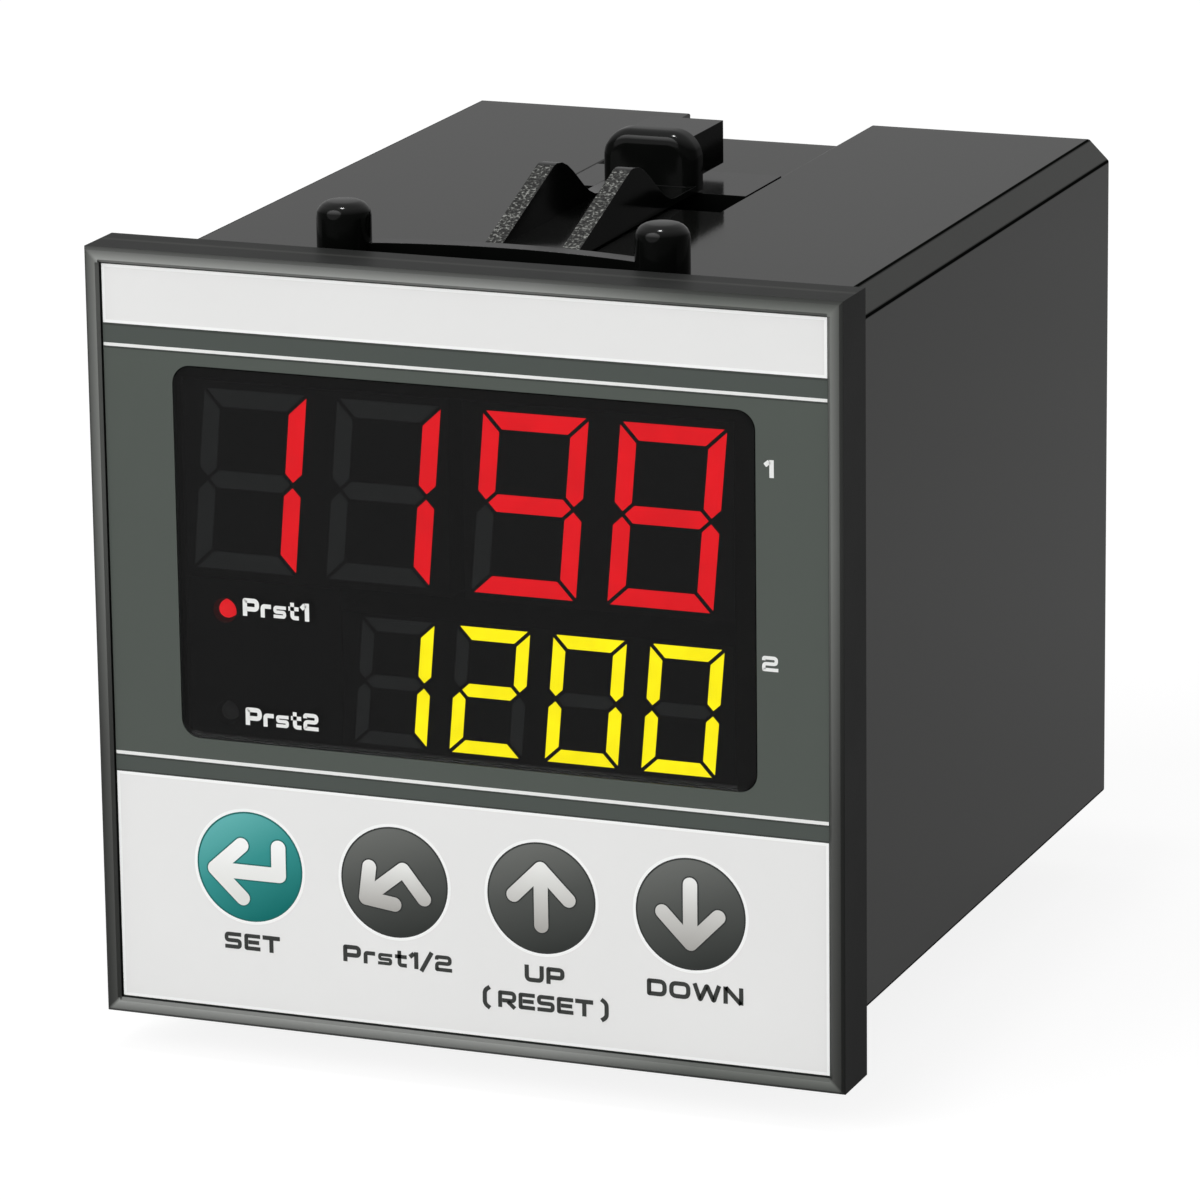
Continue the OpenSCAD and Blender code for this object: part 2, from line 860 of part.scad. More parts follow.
// Socket strip on the back of the display board, open to the rear
module socket(side) {
    strip = header_pins * pin_pitch + 2 * socket_end;
    z = main_z + board_t;
    mid = z + pin_pitch / 2;
    y0 = board_y + board_t;
    color([0.12, 0.12, 0.12])
    on_side(side)
        difference() {
            box([-strip / 2, y0, z - socket_side], [strip / 2, y0 + socket_d, z + pin_pitch + socket_side]);
            box([-strip / 2 + socket_end, y0 + socket_floor, mid - socket_slot / 2],
                [strip / 2 - socket_end, y0 + socket_d + over, mid + socket_slot / 2]);
        }
}

module logic_socket() {
    socket(1);
}

module supply_socket() {
    socket(-1);
}

// Dual-row chip on the underside of the logic board
module microcontroller() {
    top = main_z - chip_lift;
    pitch = chip[1] / chip_pins;
    color(module_black)
    translate(chip_at) {
        box([-chip[0] / 2, 0, top - chip[2]], [chip[0] / 2, chip[1], top]);
        for (i = [0:chip_pins - 1], sx = [-1, 1])
            translate([sx * (chip[0] + chip_pin[0]) / 2, (i + 0.5) * pitch, 0])
                box([-chip_pin[0] / 2, -chip_pin[1] / 2, top - chip[2] / 2],
                    [chip_pin[0] / 2, chip_pin[1] / 2, main_z]);
    }
}

// Laminated core with two windows round the middle leg
module transformer_core() {
    color([0.4, 0.4, 0.42])
    translate(core_at)
        difference() {
            box([-core[0] / 2, -core[1] / 2, 0], [core[0] / 2, core[1] / 2, core[2]]);
            for (sx = [-1, 1])
                translate([sx * (core_leg + core_window) / 2, 0, core[2] / 2])
                    cube([core_window, core[1] + 2 * over, core[2] - 2 * core_yoke], center = true);
        }
}

// Square spool round the middle leg, with a flange at each end
module transformer_bobbin() {
    color([0.85, 0.83, 0.75])
    translate(core_at)
        translate([0, 0, core[2] / 2])
            difference() {
                union() {
                    for (sz = [-1, 1])
                        translate([0, 0, sz * (spool_h - flange_t) / 2])
                            cube([flange_out[0], flange_out[1], flange_t], center = true);
                    cube([spool_out[0], spool_out[1], spool_h], center = true);
                }
                cube([spool_hole[0], spool_hole[1], spool_h + over], center = true);
            }
}

// Wire wound on the spool
module transformer_winding() {
    color([0.72, 0.36, 0.16])
    translate(core_at)
        translate([0, 0, core[2] / 2])
            difference() {
                cube([wire_out[0], wire_out[1], spool_h - 2 * flange_t], center = true);
                cube([spool_out[0], spool_out[1], spool_h], center = true);
            }
}

// Sealed output relay with its pins on the supply board
module relay(i) {
    color([0.1, 0.25, 0.5])
    translate([relay_x, relay_front + i * relay_pitch, -main_z]) {
        box([-relay_size[0] / 2, 0, relay_lift], [relay_size[0] / 2, relay_size[1], relay_size[2]]);
        for (sx = [-1, 1], y = relay_pin_y)
            translate([sx * relay_pin_x, y, 0])
                box([-relay_pin / 2, -relay_pin / 2, 0], [relay_pin / 2, relay_pin / 2, 2 * relay_lift]);
    }
}

module relay_1() {
    relay(0);
}

module relay_2() {
    relay(1);
}

// Upright smoothing capacitor with a rolled rim near its foot
module capacitor(i) {
    inner = can_r - can_edge;
    color([0.12, 0.14, 0.2])
    translate([can_x[i], can_y, -main_z])
        rotate_extrude()
            polygon([[0, 0], [inner, 0], [can_r, can_edge], [can_r, can_waist],
                [inner, can_waist + can_edge], [can_r, can_waist + 2 * can_edge],
                [can_r, can_h - can_edge], [inner, can_h], [0, can_h]]);
}

module capacitor_1() {
    capacitor(0);
}

module capacitor_2() {
    capacitor(1);
}

// X of a terminal pole
function pole_x(i) = (i - (poles - 1) / 2) * pole_pitch;

// Moulded terminal block on one main board, screws and wire entries facing the rear
module terminals(side) {
    color([0.13, 0.13, 0.13])
    on_side(side)
        difference() {
            box([-block_w / 2, block_front, block_z], [block_w / 2, block_rear, block_z + block_h]);
            for (i = [0:poles - 1])
                translate([pole_x(i), 0, block_z]) {
                    box([-pocket_w / 2, block_front - over, block_floor],
                        [pocket_w / 2, pocket_rear, block_floor + pocket_z]);
                    translate([0, 0, screw_z]) {
                        rod_y(screw_r + pass_gap, shoulder, block_rear + over);
                        rod_y(shank_r + pass_gap, pocket_rear - over, shoulder + over);
                    }
                    box([-entry_w / 2, pocket_rear - over, entry_z - entry_w / 2],
                        [entry_w / 2, block_rear + over, entry_z + entry_w / 2]);
                    translate([0, block_rear, entry_z])
                        rotate([45, 0, 0])
                            cube([entry_w, entry_bevel, entry_bevel], center = true);
                }
        }
}

module upper_terminals() {
    terminals(1);
}

module lower_terminals() {
    terminals(-1);
}

// Metal clamping cages in one terminal block
module cages(side) {
    half_hole = entry_w / 2 + cage_gap;
    color(tin)
    on_side(side)
        for (i = [0:poles - 1])
            translate([pole_x(i), 0, block_z])
                difference() {
                    box([-pocket_w / 2 + seat_gap, pocket_rear - cage_d, block_floor],
                        [pocket_w / 2 - seat_gap, pocket_rear, block_floor + pocket_z - seat_gap]);
                    box([-half_hole, pocket_rear - cage_d - over, entry_z - half_hole],
                        [half_hole, pocket_rear + over, entry_z + half_hole]);
                    translate([0, 0, screw_z])
                        rod_y(shank_r + pass_gap, pocket_rear - cage_d - over, pocket_rear + over);
                }
}

module upper_cages() {
    cages(1);
}

module lower_cages() {
    cages(-1);
}

// Slotted screws of one terminal block
module screws(side) {
    color(tin)
    on_side(side)
        for (i = [0:poles - 1])
            translate([pole_x(i), 0, block_z + screw_z])
                difference() {
                    union() {
                        rod_y(screw_r, shoulder, screw_top);
                        rod_y(shank_r, shank_from, shoulder + slot_d / 2);
                    }
                    box([-screw_r - over, screw_top - slot_d, -slot_w / 2],
                        [screw_r + over, screw_top + over, slot_w / 2]);
                }
}

module upper_screws() {
    screws(1);
}

module lower_screws() {
    screws(-1);
}

// Bar bowed away from the panel, between the posts
module clip_bar() {
    reach = post_spread / 2;
    bow_r = (reach * reach + bar_bow * bar_bow) / (2 * bar_bow);
    intersection() {
        translate([0, post_d / 2 + bar_bow - bow_r, 0])
            difference() {
                cylinder(r = bow_r + bar_t / 2, h = bar_h, $fn = bow_facets);
                translate([0, 0, -over])
                    cylinder(r = bow_r - bar_t / 2, h = bar_h + 2 * over, $fn = bow_facets);
            }
        box([-reach, 0, -over], [reach, post_d + bar_bow, bar_h + over]);
    }
}

// Post with a rounded top
module clip_post() {
    r = post_d / 2;
    arc = [for (a = [0:18:90]) post_round * [cos(a), sin(a)] + [r - post_round, post_h - post_round]];
    translate([0, r, 0])
        rotate_extrude()
            polygon(concat([[0, 0], [r, 0]], arc, [[0, post_h]]));
}

// Half section of the tab's pad, out to the given reach, with its front edge rounded
function pad_half(reach) = concat([[0, 0]],
    [for (a = [0:18:90]) [reach - tab_edge, tab_edge] + tab_edge * [sin(a), -cos(a)]],
    [[reach, tab_neck], [0, tab_neck]]);

// Thumb tab: pad with round upper corners in front, narrower block overhanging the foot behind
module clip_tab() {
    a = tab_w / 2;
    flank = a - tab_round;
    shoulder_z = tab_h - tab_round;
    translate([0, tab_at, 0]) {
        for (sx = [0, 1])
            mirror([sx, 0, 0]) {
                linear_extrude(height = shoulder_z)
                    polygon(pad_half(a));
                translate([flank, 0, shoulder_z])
                    rotate([-90, 0, 0])
                        rotate_extrude()
                            polygon(pad_half(tab_round));
            }
        span_x(-flank, flank)
            polygon([for (q = pad_half(tab_h)) [q[1], q[0]]]);
        box([-tab_back_w / 2, tab_block, tab_under], [tab_back_w / 2, tab_len, tab_h - tab_drop]);
    }
}

// Foot that runs in the track, flush with the case, its side fingers facing the ratchet teeth
module clip_foot() {
    low = -track_depth;
    neck = track_w / 2 - slide_gap;
    wing = groove_half - slide_gap;
    slit = neck - finger_w;
    difference() {
        union() {
            box([-neck, foot_at, low], [neck, foot_at + foot_len, foot_top]);
            box([-wing, foot_at, low], [wing, foot_at + foot_len, low + groove_h - 2 * slide_gap]);
            box([-tab_back_w / 2, foot_at, -over], [tab_back_w / 2, foot_at + neck_len, tab_under + over]);
        }
        for (sx = [-1, 1])
            translate([sx * slit, 0, 0])
                box([-slit_w / 2, foot_at + finger_root, low - over],
                    [slit_w / 2, foot_at + foot_len + over, foot_top - foot_plate]);
    }
}

// One-piece clip, drawn on the upper side with its posts at the given gap
module clip(gap, side) {
    color(clip_black)
    on_side(side)
        translate([0, gap, case_w / 2 + slide_gap]) {
            clip_bar();
            for (sx = [-1, 1])
                translate([sx * post_spread / 2, 0, 0])
                    clip_post();
            box([-spine_w / 2, post_d / 2 + bar_bow - bar_t / 4, 0],
                [spine_w / 2, tab_at + tab_edge, spine_t / 2]);
            for (sx = [-1, 1])
                translate([sx * (spine_w - rib_t) / 2, 0, 0])
                    span_x(-rib_t / 2, rib_t / 2)
                        polygon(rib_points);
            clip_tab();
            clip_foot();
        }
}

module upper_clip() {
    clip(upper_gap, 1);
}

module lower_clip() {
    clip(lower_gap, -1);
}

case();
bezel();
overlay();
display_window();
count_display_left();
count_display_right();
count_lit_segments();
count_dark_segments();
preset_display();
preset_lit_segments();
preset_dark_segments();
preset_1_lamp();
preset_2_lamp();
lamp_holder();
display_board();
display_board_screws();
set_key();
preset_key();
up_key();
down_key();
set_stem();
preset_stem();
up_stem();
down_stem();
set_switch();
preset_switch();
up_switch();
down_switch();
logic_board();
supply_board();
logic_header();
supply_header();
logic_socket();
supply_socket();
microcontroller();
transformer_core();
transformer_bobbin();
transformer_winding();
relay_1();
relay_2();
capacitor_1();
capacitor_2();
upper_terminals();
lower_terminals();
upper_cages();
lower_cages();
upper_screws();
lower_screws();
upper_clip();
lower_clip();
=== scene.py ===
import math

import bmesh
import bpy
from mathutils import Matrix, Vector


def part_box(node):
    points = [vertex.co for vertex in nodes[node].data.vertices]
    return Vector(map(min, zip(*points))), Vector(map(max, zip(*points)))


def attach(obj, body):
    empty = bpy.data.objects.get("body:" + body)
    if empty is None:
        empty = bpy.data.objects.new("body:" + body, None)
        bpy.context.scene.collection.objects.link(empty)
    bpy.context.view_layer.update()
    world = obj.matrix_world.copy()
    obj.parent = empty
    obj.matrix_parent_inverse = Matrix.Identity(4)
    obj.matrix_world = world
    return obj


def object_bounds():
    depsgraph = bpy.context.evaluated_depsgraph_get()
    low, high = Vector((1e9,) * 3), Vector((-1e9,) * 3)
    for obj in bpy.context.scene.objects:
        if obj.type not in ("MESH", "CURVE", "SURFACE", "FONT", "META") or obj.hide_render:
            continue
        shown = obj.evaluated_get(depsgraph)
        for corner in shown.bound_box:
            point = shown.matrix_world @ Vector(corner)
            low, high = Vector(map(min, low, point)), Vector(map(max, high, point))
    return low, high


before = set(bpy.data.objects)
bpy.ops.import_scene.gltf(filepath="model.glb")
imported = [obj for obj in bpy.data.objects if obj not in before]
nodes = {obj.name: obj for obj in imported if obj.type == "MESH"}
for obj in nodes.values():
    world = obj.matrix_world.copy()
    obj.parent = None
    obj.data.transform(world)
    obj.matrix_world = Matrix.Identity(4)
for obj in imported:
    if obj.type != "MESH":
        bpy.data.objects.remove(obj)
cad_low, cad_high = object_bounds()
scene = bpy.context.scene

MM = 0.001
KEYS = ("set", "preset", "up", "down")

# Sizes in metres that the case, clip and frame materials follow; on a chamfer the distances sideways
# and up add up to CHAMFER_SUM
CASE_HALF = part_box("case")[1].x
CHAMFER = 2.0 * MM
CHAMFER_SUM = 2 * CASE_HALF - CHAMFER
SHEET_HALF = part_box("overlay")[1].x
FRAME_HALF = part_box("bezel")[1].x
FRAME_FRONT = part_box("bezel")[0].y
RIB_REACH = 10 * MM
RIB_BACK = 36 * MM

# Part of a noise's range over which a material goes from its first tone to its second, and by how
# much the roughness and the glow then shift
NOISE_LOW, NOISE_HIGH = 0.3, 0.7
ROUGH_DRIFT = 0.06
GLOW_DRIFT = 0.06

# Printed ink and film
INK_ROUGH = 0.42
INK_LEVEL = 0.2
INK_GRAIN_SCALE = 1500.0
FILM_GRAIN = 0.003 * MM
FIELD_PATCH, TEXT_PATCH = 30.0, 300.0


def lin(r, g, b):
    """Colour written as 0 to 255, turned to linear light."""
    out = []
    for c in (r, g, b):
        c = c / 255
        out.append(c / 12.92 if c <= 0.04045 else ((c + 0.055) / 1.055) ** 2.4)
    return (*out, 1.0)


# Material nodes: helpers that add to a node tree; those for a value or colour return its socket
def new_material(name):
    m = bpy.data.materials.new(name)
    m.use_nodes = True
    tree = m.node_tree
    return m, tree, tree.nodes["Principled BSDF"]


def add(tree, kind, **values):
    """New node of a kind, with its settings."""
    n = tree.nodes.new(kind)
    for key, value in values.items():
        setattr(n, key, value)
    return n


def noise(tree, scale, detail, rough=0.5):
    coord = add(tree, "ShaderNodeTexCoord")
    n = add(tree, "ShaderNodeTexNoise")
    n.inputs["Scale"].default_value = scale
    n.inputs["Detail"].default_value = detail
    n.inputs["Roughness"].default_value = rough
    tree.links.new(coord.outputs["Object"], n.inputs["Vector"])
    return n.outputs["Fac"]


def ramp(tree, source, stops):
    """Colour that runs through the stops, each a position and a colour."""
    n = add(tree, "ShaderNodeValToRGB")
    elements = n.color_ramp.elements
    while len(elements) < len(stops):
        elements.new(0.5)
    for element, (position, colour) in zip(elements, stops):
        element.position = position
        element.color = colour
    tree.links.new(source, n.inputs["Fac"])
    return n.outputs["Color"]


def patchy(tree, source, first, second):
    """Colour that shifts between two tones with a noise."""
    return ramp(tree, source, [(NOISE_LOW, first), (NOISE_HIGH, second)])


def span(tree, source, low, high, out_low, out_high):
    """Value mapped from one range to another and held at its ends."""
    n = add(tree, "ShaderNodeMapRange")
    n.inputs["From Min"].default_value = low
    n.inputs["From Max"].default_value = high
    n.inputs["To Min"].default_value = out_low
    n.inputs["To Max"].default_value = out_high
    tree.links.new(source, n.inputs["Value"])
    return n.outputs["Result"]


def drift(tree, source, first, second):
    """Value that shifts between two levels with a noise."""
    return span(tree, source, NOISE_LOW, NOISE_HIGH, first, second)


def rise(tree, source, low, high):
    """0 at low and 1 at high."""
    return span(tree, source, low, high, 0.0, 1.0)


def fall(tree, source, low, high):
    """1 at low and 0 at high."""
    return span(tree, source, low, high, 1.0, 0.0)


def maths(tree, operation, a, b=None):
    """Math node; a and b are sockets or numbers."""
    n = add(tree, "ShaderNodeMath", operation=operation)
    for k, value in enumerate((a, b)):
        if isinstance(value, (int, float)):
            n.inputs[k].default_value = value
        elif value is not None:
            tree.links.new(value, n.inputs[k])
    return n.outputs["Value"]


def times(tree, a, b):
    return maths(tree, "MULTIPLY", a, b)


def absolute(tree, a):
    return maths(tree, "ABSOLUTE", a)


def mixed(tree, factor, a, b):
    """Colour a at factor 0 and colour b at factor 1."""
    n = add(tree, "ShaderNodeMix", data_type="RGBA")
    tree.links.new(factor, n.inputs["Factor"])
    tree.links.new(a, n.inputs["A"])
    tree.links.new(b, n.inputs["B"])
    return n.outputs["Result"]


def split(tree, vector):
    """The X, Y and Z sockets of a vector."""
    n = add(tree, "ShaderNodeSeparateXYZ")
    tree.links.new(vector, n.inputs["Vector"])
    return n.outputs


def normal_axes(tree, kind="True Normal"):
    return split(tree, add(tree, "ShaderNodeNewGeometry").outputs[kind])


def place(tree):
    """Place on the part, in the shared frame at rest."""
    return split(tree, add(tree, "ShaderNodeTexCoord").outputs["Object"])


def place_axes(tree):
    """Distances from the part's middle, sideways and up."""
    return [absolute(tree, place(tree)[axis]) for axis in "XZ"]


def grain(tree, shader, scale, height):
    """Moulded grain as bump; height in metres."""
    n = add(tree, "ShaderNodeBump")
    n.inputs["Strength"].default_value = 1.0
    n.inputs["Distance"].default_value = height
    tree.links.new(noise(tree, scale, 2.0), n.inputs["Height"])
    tree.links.new(n.outputs["Normal"], shader.inputs["Normal"])


# Materials
def surface(name, rgb, rough, vary=0.05, patch=60.0, grain_scale=2500.0, grain_h=0.01 * MM,
            metal=0.0, level=0.5):
    """Plastic, metal, paint or ink: small shifts of tone and gloss, and a fine grain."""
    m, tree, shader = new_material(name)
    n = noise(tree, patch, 4.0, 0.6)
    darker = lin(*[c * (1 - vary) for c in rgb])
    lighter = lin(*[min(c * (1 + vary), 255) for c in rgb])
    tree.links.new(patchy(tree, n, darker, lighter), shader.inputs["Base Color"])
    tree.links.new(drift(tree, n, rough - ROUGH_DRIFT, rough + ROUGH_DRIFT), shader.inputs["Roughness"])
    shader.inputs["Metallic"].default_value = metal
    shader.inputs["Specular IOR Level"].default_value = level
    if grain_h:
        grain(tree, shader, grain_scale, grain_h)
    return m


def ink(name, rgb, vary, patch=FIELD_PATCH, grain_h=0.0):
    return surface(name, rgb, INK_ROUGH, vary=vary, patch=patch, grain_scale=INK_GRAIN_SCALE,
                   grain_h=grain_h, level=INK_LEVEL)


def glow(name, rgb, emit):
    """Lit or dark diffuser: coloured body with light from inside, a little uneven; on a dark one the faint
    glow is painted light, not a lamp.
    """
    m, tree, shader = new_material(name)
    n = noise(tree, 350.0, 2.0)
    dimmer = [c * (1 - GLOW_DRIFT) for c in emit]
    brighter = [c * (1 + GLOW_DRIFT) for c in emit]
    body = patchy(tree, n, lin(*[c * 0.95 for c in rgb]), lin(*rgb))
    tree.links.new(body, shader.inputs["Base Color"])
    tree.links.new(patchy(tree, n, (*dimmer, 1), (*brighter, 1)), shader.inputs["Emission Color"])
    shader.inputs["Emission Strength"].default_value = 1.0
    shader.inputs["Roughness"].default_value = 0.5
    shader.inputs["Specular IOR Level"].default_value = 0.2
    return m


def fade(name, light, dark, lean):
    """Printed colour from light at the top to dark below; lean tilts it towards the upper left."""
    m, tree, shader = new_material(name)
    coord = add(tree, "ShaderNodeTexCoord")
    dot = add(tree, "ShaderNodeVectorMath", operation="DOT_PRODUCT")
    dot.inputs[1].default_value = (-lean, 0.0, 1.0)
    tree.links.new(coord.outputs["Generated"], dot.inputs[0])
    upward = rise(tree, dot.outputs["Value"], -lean * 0.8, 1.0)
    middle = [(a + b) / 2 for a, b in zip(light, dark)]
    tone = ramp(tree, upward, [(0.0, lin(*dark)), (0.5, lin(*middle)), (1.0, lin(*light))])
    tree.links.new(tone, shader.inputs["Base Color"])
    shader.inputs["Roughness"].default_value = INK_ROUGH
    shader.inputs["Specular IOR Level"].default_value = 0.1
    grain(tree, shader, INK_GRAIN_SCALE, 0.004 * MM)
    return m


def smoked_lens():
    """Clear grey plastic over the displays."""
    m, tree, shader = new_material("smoked_lens")
    tone = patchy(tree, noise(tree, 40.0, 2.0), (0.295, 0.30, 0.30, 1), (0.305, 0.31, 0.31, 1))
    tree.links.new(tone, shader.inputs["Base Color"])
    shader.inputs["Transmission Weight"].default_value = 1.0
    shader.inputs["Roughness"].default_value = 0.03
    shader.inputs["IOR"].default_value = 1.36
    return m


def rib_slopes(tree):
    """1 on the slopes of a clip's ribs that face the panel, 0 elsewhere."""
    normal = normal_axes(tree)
    rising = times(tree, rise(tree, normal["Y"], -0.2, -0.3),
                   rise(tree, absolute(tree, normal["Z"]), 0.6, 0.8))
    between = fall(tree, place_axes(tree)[0], RIB_REACH, RIB_REACH + MM)
    ahead = fall(tree, place(tree)["Y"], RIB_BACK, RIB_BACK + MM)
    return times(tree, rising, times(tree, between, ahead))


def clip_gloss():
    """Black nylon with a coarse grain on the ribs' slopes and painted glints there; its reflection is kept
    on top and turned down on its sides and in the track as painted shade.
    """
    m, tree, shader = new_material("clip_gloss")
    plain = patchy(tree, noise(tree, 160.0, 4.0), lin(7, 8, 7), lin(11, 12, 11))
    coarse = rib_slopes(tree)
    fleck = noise(tree, 3600.0, 2.0)
    # Painted glints: pale flecks in the colour of the ribs' slopes, standing in for small highlights
    painted_glints = ramp(tree, fleck, [(0.44, lin(20, 20, 19)), (0.56, lin(66, 67, 64)),
                                (0.66, lin(142, 143, 139))])
    tree.links.new(mixed(tree, coarse, plain, painted_glints), shader.inputs["Base Color"])
    tree.links.new(span(tree, coarse, 0.0, 1.0, 0.13, 0.5), shader.inputs["Roughness"])
    bump = add(tree, "ShaderNodeBump")
    bump.inputs["Distance"].default_value = 0.1 * MM
    tree.links.new(span(tree, coarse, 0.0, 1.0, 0.02, 0.8), bump.inputs["Strength"])
    tree.links.new(fleck, bump.inputs["Height"])
    tree.links.new(bump.outputs["Normal"], shader.inputs["Normal"])
    # Painted shade: the reflection is turned down on the clip's sides and on what lies in the track below
    # the case's top
    height = place_axes(tree)[1]
    outside = span(tree, height, CASE_HALF - 0.3 * MM, CASE_HALF - 0.1 * MM, 0.1, 1.0)
    upward = absolute(tree, normal_axes(tree, "Normal")["Z"])
    shine = span(tree, upward, 0.35, 0.7, 0.05, 0.5)
    tree.links.new(times(tree, outside, shine), shader.inputs["Specular IOR Level"])
    return m


def chamfer_lines(tree):
    """1 on a fine line along the edges of the case's chamfers, 0 elsewhere."""
    x, z = place_axes(tree)
    corner = rise(tree, maths(tree, "ADD", x, z), CHAMFER_SUM - 0.26 * MM, CHAMFER_SUM - 0.14 * MM)
    outer = rise(tree, maths(tree, "MAXIMUM", x, z), CASE_HALF - 0.2 * MM, CASE_HALF - 0.1 * MM)
    return times(tree, corner, outer)


def case_gloss():
    """Glossy dark case that mirrors the studio, with a fine dark line on the chamfers' edges and its
    chamfers painted paler as painted light.
    """
    m, tree, shader = new_material("case_gloss")
    n = noise(tree, 45.0, 4.0, 0.6)
    line = chamfer_lines(tree)
    normal = normal_axes(tree)
    slope = absolute(tree, times(tree, normal["X"], normal["Z"]))
    chamfer = rise(tree, maths(tree, "SUBTRACT", slope, line), 0.3, 0.4)
    plain = patchy(tree, n, lin(12, 13, 12), lin(16, 17, 15))
    # Painted light: the chamfers get a paler copy of the case's colour
    chamfer_painted_light = patchy(tree, n, lin(44, 45, 43), lin(48, 49, 47))
    tree.links.new(mixed(tree, chamfer, plain, chamfer_painted_light), shader.inputs["Base Color"])
    tree.links.new(span(tree, line, 0.0, 1.0, 0.36, 0.0), shader.inputs["Specular IOR Level"])
    tree.links.new(drift(tree, n, 0.06, 0.08), shader.inputs["Roughness"])
    shader.inputs["Specular Tint"].default_value = (0.985, 1.0, 0.95, 1.0)
    grain(tree, shader, 3200.0, 0.003 * MM)
    return m


def frame_rim(tree):
    """Where the frame's rounded front edge lies, and the light that it catches there."""
    x, z = place_axes(tree)
    at = place(tree)
    reach = maths(tree, "MAXIMUM", x, z)
    rim = rise(tree, reach, SHEET_HALF, SHEET_HALF + 0.1 * MM)
    facing = rise(tree, normal_axes(tree)["Y"], -0.3, -0.98)
    roll = span(tree, reach, SHEET_HALF + 0.4 * MM, FRAME_HALF, 1.0, 0.25)
    where = times(tree, times(tree, rim, facing), roll)
    along = ramp(tree, rise(tree, at["X"], -FRAME_HALF, FRAME_HALF),
                 [(0.0, lin(150, 152, 149)), (0.6, lin(148, 150, 147)), (0.8, lin(114, 117, 113))])
    upright = ramp(tree, rise(tree, at["Z"], -FRAME_HALF, FRAME_HALF),
                   [(0.0, lin(70, 71, 69)), (0.35, lin(84, 85, 83)), (0.7, lin(120, 122, 119))])
    level = rise(tree, maths(tree, "SUBTRACT", z, x), -0.2 * MM, 0.2 * MM)
    return where, mixed(tree, level, upright, along)


def frame_satin():
    """Dark frame plastic with a lit front edge, top and bottom faces painted paler than its sides as
    painted light, and a mould line across its top and bottom.
    """
    m, tree, shader = new_material("frame_satin")
    n = noise(tree, 50.0, 4.0, 0.6)
    side = patchy(tree, n, lin(17, 18, 17), lin(20, 21, 20))
    # Painted light: top and bottom faces are paler than the sides; the paler band near 0.6 is the mould
    # line
    painted_top_light_and_mould_line = ramp(tree, rise(tree, place(tree)["Y"], FRAME_FRONT, 0.0),
               [(0.0, lin(41, 42, 41)), (0.52, lin(42, 43, 42)), (0.6, lin(62, 63, 61)),
                (0.68, lin(42, 43, 42))])
    upward = rise(tree, absolute(tree, normal_axes(tree)["Z"]), 0.8, 0.95)
    front, edge = frame_rim(tree)
    tree.links.new(mixed(tree, front, mixed(tree, upward, side, painted_top_light_and_mould_line), edge), shader.inputs["Base Color"])
    tree.links.new(drift(tree, n, 0.4, 0.46), shader.inputs["Roughness"])
    shader.inputs["Specular IOR Level"].default_value = 0.12
    grain(tree, shader, 3600.0, 0.006 * MM)
    return m


terminal_plastic = surface("terminal_plastic", (34, 35, 35), 0.45, vary=0.06, patch=80, level=0.35)
plunger_plastic = surface("plunger_plastic", (92, 94, 94), 0.5)
stem_plastic = surface("stem_plastic", (38, 38, 38), 0.4)
switch_plastic = surface("switch_plastic", (140, 140, 138), 0.45, vary=0.08, patch=200)
connector_plastic = surface("connector_plastic", (30, 30, 31), 0.5)
relay_plastic = surface("relay_plastic", (30, 66, 130), 0.35)
can_sleeve = surface("can_sleeve", (32, 36, 52), 0.3)
spool_plastic = surface("spool_plastic", (214, 208, 188), 0.5)
copper = surface("copper_wire", (184, 96, 44), 0.32, vary=0.12, patch=900, metal=0.8)
core_steel = surface("core_steel", (104, 105, 108), 0.42, vary=0.12, patch=700, metal=0.7)
screw_steel = surface("screw_steel", (196, 197, 200), 0.26, vary=0.05, patch=300, metal=1.0,
                      grain_scale=1800, grain_h=0.006 * MM)
cage_metal = surface("cage_metal", (176, 176, 170), 0.34, vary=0.08, patch=260, metal=1.0)
board_mask = surface("board_mask", (26, 84, 52), 0.34, vary=0.18, patch=420)
front_board_mask = surface("front_board_mask", (14, 17, 16), 0.5, vary=0.1, patch=300)
display_black = surface("display_black", (12, 13, 13), 0.55, vary=0.1, patch=200, level=0.1)

ink_pale = ink("ink_pale", (235, 235, 234), 0.006, grain_h=FILM_GRAIN)
ink_edge = ink("ink_edge", (250, 251, 250), 0.006)
film = ink("film", (82, 88, 83), 0.012, grain_h=FILM_GRAIN)
ink_band = ink("ink_band", (77, 83, 79), 0.012, grain_h=FILM_GRAIN)
ink_shade = ink("ink_shade", (62, 66, 63), 0.02)
ink_text = ink("ink_text", (58, 60, 58), 0.03, TEXT_PATCH)
ink_white = ink("ink_white", (236, 237, 235), 0.01, TEXT_PATCH)
rim_teal = ink("rim_teal", (22, 104, 99), 0.03, TEXT_PATCH)
rim_grey = ink("rim_grey", (52, 54, 53), 0.03, TEXT_PATCH)
key_teal = fade("key_teal", (111, 190, 188), (0, 103, 99), 0.55)
key_grey = fade("key_grey", (113, 115, 112), (48, 51, 49), 0.3)
arrow_grey = fade("arrow_grey", (240, 241, 238), (170, 168, 164), 0.0)
arrow_white = fade("arrow_white", (252, 253, 252), (226, 226, 222), 0.0)

red_lit = glow("red_lit", (200, 40, 40), (2.4, 0.012, 0.032))
yellow_lit = glow("yellow_lit", (220, 200, 60), (3.3, 2.85, 0.0))
# Painted glow: the unlit segments give off a faint light though they are switched off
dark_segment = glow("dark_segment", (30, 32, 32), (0.026, 0.028, 0.028))
lamp_lit = glow("lamp_lit", (190, 40, 40), (2.4, 0.03, 0.05))
# Painted glow: the unlit lamp gives off a faint light though it is switched off
lamp_dark = glow("lamp_dark", (34, 32, 32), (0.02, 0.02, 0.02))

lens = smoked_lens()
clip_black = clip_gloss()
case_plastic = case_gloss()
frame_plastic = frame_satin()

